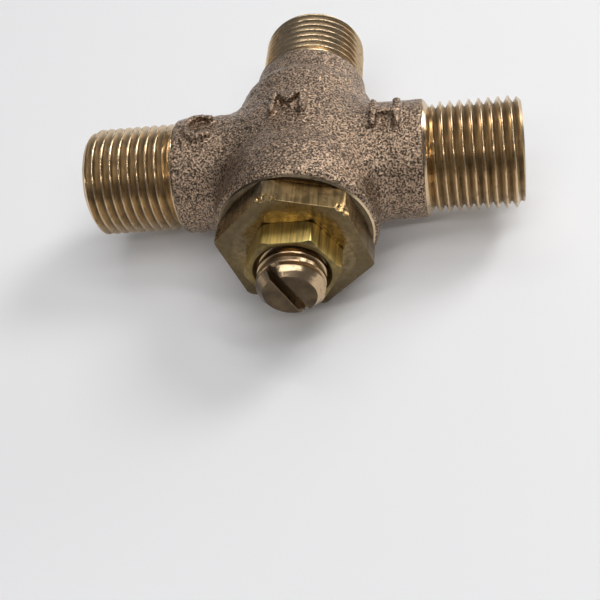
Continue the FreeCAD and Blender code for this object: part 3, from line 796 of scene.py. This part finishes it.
class VALVE_OT_lock_nut(bpy.types.Operator):
    """Lock nut on the adjusting stem"""
    bl_idname = "mixing_valve.lock_nut"
    bl_label = "Lock nut"

    def execute(self, context):
        settings = context.scene.mixing_valve
        columns = 360
        edge = hexagon_r(NUT_FLATS, 0.0, columns, 0.12)
        hood = NUT_FLATS / 2 + NUT_HOOD
        over = np.maximum(edge - hood, 0) * HOOD_SLOPE
        end_r = np.minimum(edge - 0.02, hood)
        bore = STEM_R + STEM_CLEARANCE
        rings = [(NUT_END - 0.95, bore), (NUT_END - 0.1, bore + 0.75), (NUT_END, bore + 0.85),
                 (NUT_END, end_r - 0.12), (NUT_END - 0.05, end_r), (NUT_END - over - 0.05, edge - 0.02),
                 (NUT_END - over - 0.15, edge), (NUT_FOOT + over + 0.15, edge),
                 (NUT_FOOT + over + 0.05, edge - 0.02), (NUT_FOOT + 0.05, end_r), (NUT_FOOT, end_r - 0.12),
                 (NUT_FOOT, bore + 0.3), (NUT_FOOT + 0.3, bore)]
        points, faces = turned(rings, BONNET, columns)
        piece = make_piece("brass_lock_nut", points, faces, HEX_SHARP)
        # painted reflection: the nut's front face is darkened
        mark_faces(piece, "painted_shade", lambda centres, normals: (
            (normals[:, 1] < -0.5) & (centres[:, 1] < 1.0 - NUT_END)))
        material = bar_finish("drawn nut brass", tuple(settings.nut_color), (0.66, 0.46, 0.13), 0.30)
        fit(piece, material, "lock_nut", "nut_brass", "lock_nut")
        return {"FINISHED"}


class VALVE_OT_stem(bpy.types.Operator):
    """Adjusting stem with its thread, its sealed head and its screwdriver slot"""
    bl_idname = "mixing_valve.stem"
    bl_label = "Adjusting stem"

    def execute(self, context):
        settings = context.scene.mixing_valve
        head_end = STEM_FOOT + HEAD_LENGTH
        groove = STEM_FOOT + HEAD_LENGTH / 2
        floor_r, half = HEAD_R - 1.45, 0.85     # of the seal's groove
        relief_r, thread_start = STEM_R - 0.7, head_end + 1.2
        bore_end = STEM_FOOT + STEM_BORE_LENGTH

        def limit(out):
            washout = relief_r + (out - thread_start)
            bevel = STEM_END_R + (STEM_END - out)
            return np.minimum(np.minimum(bevel, washout), STEM_R)

        rings = [(STEM_FOOT, STEM_BORE_R), (STEM_FOOT, HEAD_R - 0.25), (STEM_FOOT + 0.25, HEAD_R),
                 (groove - half, HEAD_R), (groove - half, floor_r), (groove + half, floor_r),
                 (groove + half, HEAD_R), (head_end - 0.2, HEAD_R), (head_end, HEAD_R - 0.2),
                 (head_end, relief_r), (thread_start - 0.1, relief_r)]
        rings += thread_rings(thread_start, STEM_END, STEM_PITCH, STEM_R, STEM_DEPTH, STEM_FORM, limit)
        rings += [(STEM_END, STEM_END_R - 0.15), (STEM_END, 2.0), (STEM_END, 0.0), (bore_end, 0.0),
                  (bore_end, STEM_BORE_R)]
        points, faces = turned(rings, BONNET)
        piece = make_piece("slotted_stem", points, faces, 30.0)
        self.cut_slot(piece)
        at = points_of(piece)
        radius = np.hypot(at[:, 0], at[:, 2])
        # the finish darkens these thread grooves as painted shade, and makes them rougher
        shank = (at[:, 1] < -head_end - 1.0) & (at[:, 1] > -STEM_END + 1.3)
        mark(piece, "groove", np.where(shank, np.clip((STEM_R - 0.2 - radius) / 0.55, 0, 1), 0))
        mark_faces(piece, "painted_shade", self.shaded_faces)
        material = turned_finish("turned stem brass", tuple(settings.stem_color), 1, 0.22)
        fit(piece, material, "stem", "stem_brass", "adjusting_stem")
        return {"FINISHED"}

    def shaded_faces(self, centres, normals):
        """Painted dark reflection on the end face, a little less in the slot, and painted shade over the low
        left side of the bevel.
        """
        turn = math.radians(SLOT_ANGLE)
        side = np.abs(centres[:, 2] * math.cos(turn) - centres[:, 0] * math.sin(turn))
        end = (centres[:, 1] < 0.02 - STEM_END) & (normals[:, 1] < -0.9)
        slot = (side < SLOT_WIDTH / 2 + 0.01) & (centres[:, 1] < SLOT_DEPTH + 0.1 - STEM_END)
        slot &= centres[:, 1] > 0.1 - STEM_END
        bevel = (centres[:, 1] < 2.8 - STEM_END) & ~end & ~slot
        # painted shade: darker towards the low left side of the bevel
        stain_and_shade = np.clip(0.5 - (centres[:, 0] + 1.3 * centres[:, 2]) / 4.0, 0, 1.0)
        return np.where(end, 1.0, np.where(slot, 0.75, np.where(bevel, stain_and_shade, 0.0)))

    def cut_slot(self, piece):
        """Cut the screwdriver slot, its edges barely broken."""
        half, broken, reach = SLOT_WIDTH / 2, 0.14, 8.0
        section = [(-half, STEM_END - SLOT_DEPTH), (half, STEM_END - SLOT_DEPTH), (half, STEM_END - broken),
                   (half + broken, STEM_END), (half + broken, STEM_END + 1), (-half - broken, STEM_END + 1),
                   (-half - broken, STEM_END), (-half, STEM_END - broken)]
        points = [(end * reach, -out, side) for end in (-1, 1) for side, out in section]
        count = len(section)
        faces = [list(range(count)), list(range(2 * count - 1, count - 1, -1))]
        faces += [[i, (i + 1) % count, count + (i + 1) % count, count + i] for i in range(count)]
        cutter = make_piece("slot_cutter", points, faces)
        cutter.rotation_euler = (0, math.radians(-SLOT_ANGLE), 0)
        cut = piece.modifiers.new("slot", "BOOLEAN")
        cut.object, cut.operation, cut.solver = cutter, "DIFFERENCE", "EXACT"
        bpy.context.view_layer.update()
        shape = piece.evaluated_get(bpy.context.evaluated_depsgraph_get())
        mesh = bpy.data.meshes.new_from_object(shape)
        piece.modifiers.clear()
        piece.data = mesh
        mesh.set_sharp_from_angle(angle=math.radians(30.0))
        bpy.data.objects.remove(cutter)


def ring_piece(name, node, body, material):
    """Round sealing ring in the place of its node."""
    low, high = box_mm(node)
    middle, section = (low[1] + high[1]) / 2, (high[1] - low[1]) / 2
    radius = (high[0] - low[0]) / 2 - section
    turns = 2 * math.pi * np.arange(16) / 16
    rings = [(-middle + section * math.sin(turn), radius + section * math.cos(turn)) for turn in turns]
    points, faces = turned(rings, BONNET, 96)
    fit(make_piece(name, points, faces, 80.0), material, body, "seal_rubber", node)


class VALVE_OT_seals(bpy.types.Operator):
    """Three round sealing rings"""
    bl_idname = "mixing_valve.seals"
    bl_label = "Sealing rings"

    def execute(self, context):
        material = rubber_finish("seal rubber")
        ring_piece("bonnet_o_ring", "bonnet_seal_ring", "valve", material)
        ring_piece("stem_o_ring", "stem_seal_ring", "stem", material)
        ring_piece("shuttle_o_ring", "shuttle_seal_ring", "shuttle", material)
        return {"FINISHED"}


def coil_piece(name, node, axis, turns, material):
    """Round-wire spring with closed ends in the place of its node."""
    wire, gap, closed = 0.42, 0.03, 0.08        # wire's radius, room at each end, share of an end turn
    low, high = box_mm(node)
    across = [i for i in range(3) if i != axis]
    radius = (high[across[1]] - low[across[1]]) / 2 - wire - gap
    first, last = low[axis] + wire + gap, high[axis] - wire - gap
    steps = int(turns * 30)
    share = np.linspace(0, 1, steps + 1)
    angle = 2 * math.pi * turns * share
    outward = np.zeros((steps + 1, 3))
    outward[:, across[0]], outward[:, across[1]] = np.cos(angle), np.sin(angle)
    path = radius * outward
    path[:, axis] = first + (last - first) * np.clip((share - closed) / (1 - 2 * closed), 0, 1)
    up = np.zeros(3)
    up[axis] = 1
    sides = 10
    points = []
    for i in range(sides):
        turn = 2 * math.pi * i / sides
        points.append(path + wire * (math.cos(turn) * outward + math.sin(turn) * up))
    points = np.stack(points, 1).reshape(-1, 3)
    corners = [(i, (i + 1) % sides) for i in range(sides)]
    faces = [[s * sides + i, s * sides + j, (s + 1) * sides + j, (s + 1) * sides + i]
             for s in range(steps) for i, j in corners]
    faces += [list(range(sides)), list(range(steps * sides, (steps + 1) * sides))]
    piece = make_piece(name, points, faces, 60.0)
    piece.data.materials.append(material)
    ends = np.zeros((2, 3))
    ends[:, axis] = (low[axis] + 2.2 * wire) * MM, (high[axis] - 2.2 * wire) * MM
    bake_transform(piece)
    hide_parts(node)


class VALVE_OT_springs(bpy.types.Operator):
    """Return, overtravel and check-valve springs"""
    bl_idname = "mixing_valve.springs"
    bl_label = "Springs"

    def execute(self, context):
        material = steel_finish()
        coil_piece("return_coil", "return_spring", 1, 4, material)
        coil_piece("overtravel_coil", "overtravel_spring", 1, 3, material)
        coil_piece("cold_check_coil", "cold_check_spring", 0, 4, material)
        coil_piece("hot_check_coil", "hot_check_spring", 0, 4, material)
        return {"FINISHED"}


class VALVE_OT_inner(bpy.types.Operator):
    """Finishes of the parts inside"""
    bl_idname = "mixing_valve.inner"
    bl_label = "Inner parts"

    def execute(self, context):
        steel = bpy.data.materials["drawn spring steel"]
        plastic = plastic_finish()
        brass = turned_finish("turned inner brass", (0.62, 0.48, 0.28), 1, 0.26, shade_painted=False)
        seat = rubber_finish("check seat rubber")
        finishes = {
            steel: ("plunger_clip", "spring_washer", "element_pin", "cold_strainer", "hot_strainer"),
            plastic: ("shuttle", "cold_check_cage", "hot_check_cage", "cold_check_poppet",
                      "hot_check_poppet"),
            brass: ("cold_seat_ring", "overtravel_plunger"),
            seat: ("cold_check_seat", "hot_check_seat"),
            copper_finish(): ("wax_element",),
        }
        for material, names in finishes.items():
            for name in names:
                mesh = frame["nodes"][name].data
                mesh.materials.clear()
                mesh.materials.append(material)
        return {"FINISHED"}


# Each lamp is (name, place in metres, size in metres, share of the key lamp's power)
LAMPS = (("key", (0.55, 0.45, 0.62), (0.30, 0.30), 1.0),
         ("back strip", (0.12, 0.30, 0.95), (1.1, 0.05), 0.6),
         ("middle strip", (0.12, -0.24, 0.97), (1.1, 0.04), 0.8),
         ("front strip", (0.12, -0.62, 0.79), (1.1, 0.05), 0.85),
         ("ceiling", (0.12, -0.12, 1.05), (1.1, 0.85), 0.35),
         ("window", (0.75, 0.68, 0.24), (0.45, 0.36), 0.7),
         ("back window", (-0.15, 0.98, 0.26), (0.9, 0.3), 0.35),
         ("back panel", (-0.10, 0.66, 0.76), (0.5, 0.3), 0.08))
# Each colour of the room is (height, colour)
ROOM = ((0.0, (0.18, 0.19, 0.20, 1)), (0.35, (0.13, 0.13, 0.14, 1)), (0.9, (0.10, 0.10, 0.11, 1)))
CAMERA_PLACE = (0.0329, -0.1474, 0.1315)
CAMERA_BACK, CAMERA_RIGHT = (0.176, -0.641, 0.747), (0.983, 0.075, -0.167)


class VALVE_OT_studio(bpy.types.Operator):
    """Floor, lamps, surroundings and camera"""
    bl_idname = "mixing_valve.studio"
    bl_label = "Studio"

    def execute(self, context):
        settings = context.scene.mixing_valve_studio
        self.floor(settings)
        self.surroundings(context)
        for name, place, size, share in LAMPS:
            self.lamp(name, place, size, settings.lamp_power * share)
        self.camera(context)
        context.scene.view_settings.view_transform = "Standard"
        return {"FINISHED"}

    def camera(self, context):
        """Camera above the bonnet, looking down on the valve."""
        camera = bpy.data.cameras.new("camera")
        camera.lens, camera.sensor_width, camera.clip_start, camera.clip_end = 60.0, 36.0, 0.005, 50.0
        holder = bpy.data.objects.new("camera", camera)
        back = Vector(CAMERA_BACK).normalized()
        right = Vector(CAMERA_RIGHT)
        right = (right - back * right.dot(back)).normalized()
        up = back.cross(right)
        holder.matrix_world = Matrix([
            (*row, place) for row, place in zip(zip(right, up, back), CAMERA_PLACE)] + [(0, 0, 0, 1)])
        context.scene.collection.objects.link(holder)
        context.scene.camera = holder

    def floor(self, settings):
        """Wide plain floor just under the valve."""
        size, level, steps = 3.0, CAD_BOX[0][2] - 0.0001, 6
        line = np.linspace(-size, size, steps + 1)
        points = [(x, y, level) for y in line for x in line]
        wide = steps + 1
        faces = [[r * wide + c, r * wide + c + 1, (r + 1) * wide + c + 1, (r + 1) * wide + c]
                 for r in range(steps) for c in range(steps)]
        mesh = bpy.data.meshes.new("floor")
        mesh.from_pydata(points, [], faces)
        floor = bpy.data.objects.new("floor", mesh)
        bpy.context.scene.collection.objects.link(floor)
        look = Finish("plain floor", tuple(settings.floor_color), 0.0, 0.9)
        look.surface.inputs["Specular IOR Level"].default_value = 0.1
        mesh.materials.append(look.material)

    def surroundings(self, context):
        """Soft grey room, darker overhead than at the horizon."""
        world = bpy.data.worlds.new("room")
        context.scene.world = world
        world.use_nodes = True
        nodes, links = world.node_tree.nodes, world.node_tree.links
        background = nodes["Background"]
        place = nodes.new("ShaderNodeTexCoord")
        split = nodes.new("ShaderNodeSeparateXYZ")
        ramp = nodes.new("ShaderNodeValToRGB")
        stops = ramp.color_ramp.elements
        stops[0].position, stops[0].color = ROOM[0]
        stops[1].position, stops[1].color = ROOM[-1]
        for height, color in ROOM[1:-1]:
            stops.new(height).color = color
        links.new(place.outputs["Generated"], split.inputs[0])
        links.new(split.outputs["Z"], ramp.inputs["Fac"])
        links.new(ramp.outputs["Color"], background.inputs["Color"])
        background.inputs["Strength"].default_value = 1.0

    def lamp(self, name, place, size, power):
        """Soft lamp turned towards the valve."""
        light = bpy.data.lights.new(name, "AREA")
        light.shape, light.energy = "RECTANGLE", power
        light.size, light.size_y = size
        holder = bpy.data.objects.new(name, light)
        holder.location = place
        holder.rotation_euler = (-Vector(place)).to_track_quat("-Z", "Y").to_euler()
        bpy.context.scene.collection.objects.link(holder)


class VALVE_PT_panel(bpy.types.Panel):
    """Lists the valve's settings and pieces"""
    bl_idname = "VALVE_PT_panel"
    bl_label = "Mixing Valve"
    bl_space_type = "VIEW_3D"
    bl_region_type = "UI"
    bl_category = "Mixing Valve"

    def draw(self, context):
        for settings in (context.scene.mixing_valve, context.scene.mixing_valve_studio):
            column = self.layout.column()
            for name in type(settings).__annotations__:
                column.prop(settings, name)
        for operator in PIECES:
            self.layout.operator(operator.bl_idname)


PIECES = (VALVE_OT_casting, VALVE_OT_ports, VALVE_OT_bonnet, VALVE_OT_lock_nut, VALVE_OT_stem,
          VALVE_OT_seals, VALVE_OT_springs, VALVE_OT_inner, VALVE_OT_studio)
CLASSES = (ValveSettings, StudioSettings, *PIECES, VALVE_PT_panel)


def register():
    """Add the settings, operators and panel."""
    for item in CLASSES:
        bpy.utils.register_class(item)
    bpy.types.Scene.mixing_valve = bpy.props.PointerProperty(type=ValveSettings)
    bpy.types.Scene.mixing_valve_studio = bpy.props.PointerProperty(type=StudioSettings)


def unregister():
    """Take away what register added."""
    del bpy.types.Scene.mixing_valve
    del bpy.types.Scene.mixing_valve_studio
    for item in reversed(CLASSES):
        bpy.utils.unregister_class(item)


def main():
    """Build the valve."""
    register()
    bpy.ops.mixing_valve.casting()
    bpy.ops.mixing_valve.ports()
    bpy.ops.mixing_valve.bonnet()
    bpy.ops.mixing_valve.lock_nut()
    bpy.ops.mixing_valve.stem()
    bpy.ops.mixing_valve.seals()
    bpy.ops.mixing_valve.springs()
    bpy.ops.mixing_valve.inner()
    bpy.ops.mixing_valve.studio()


if __name__ == "__main__":
    main()
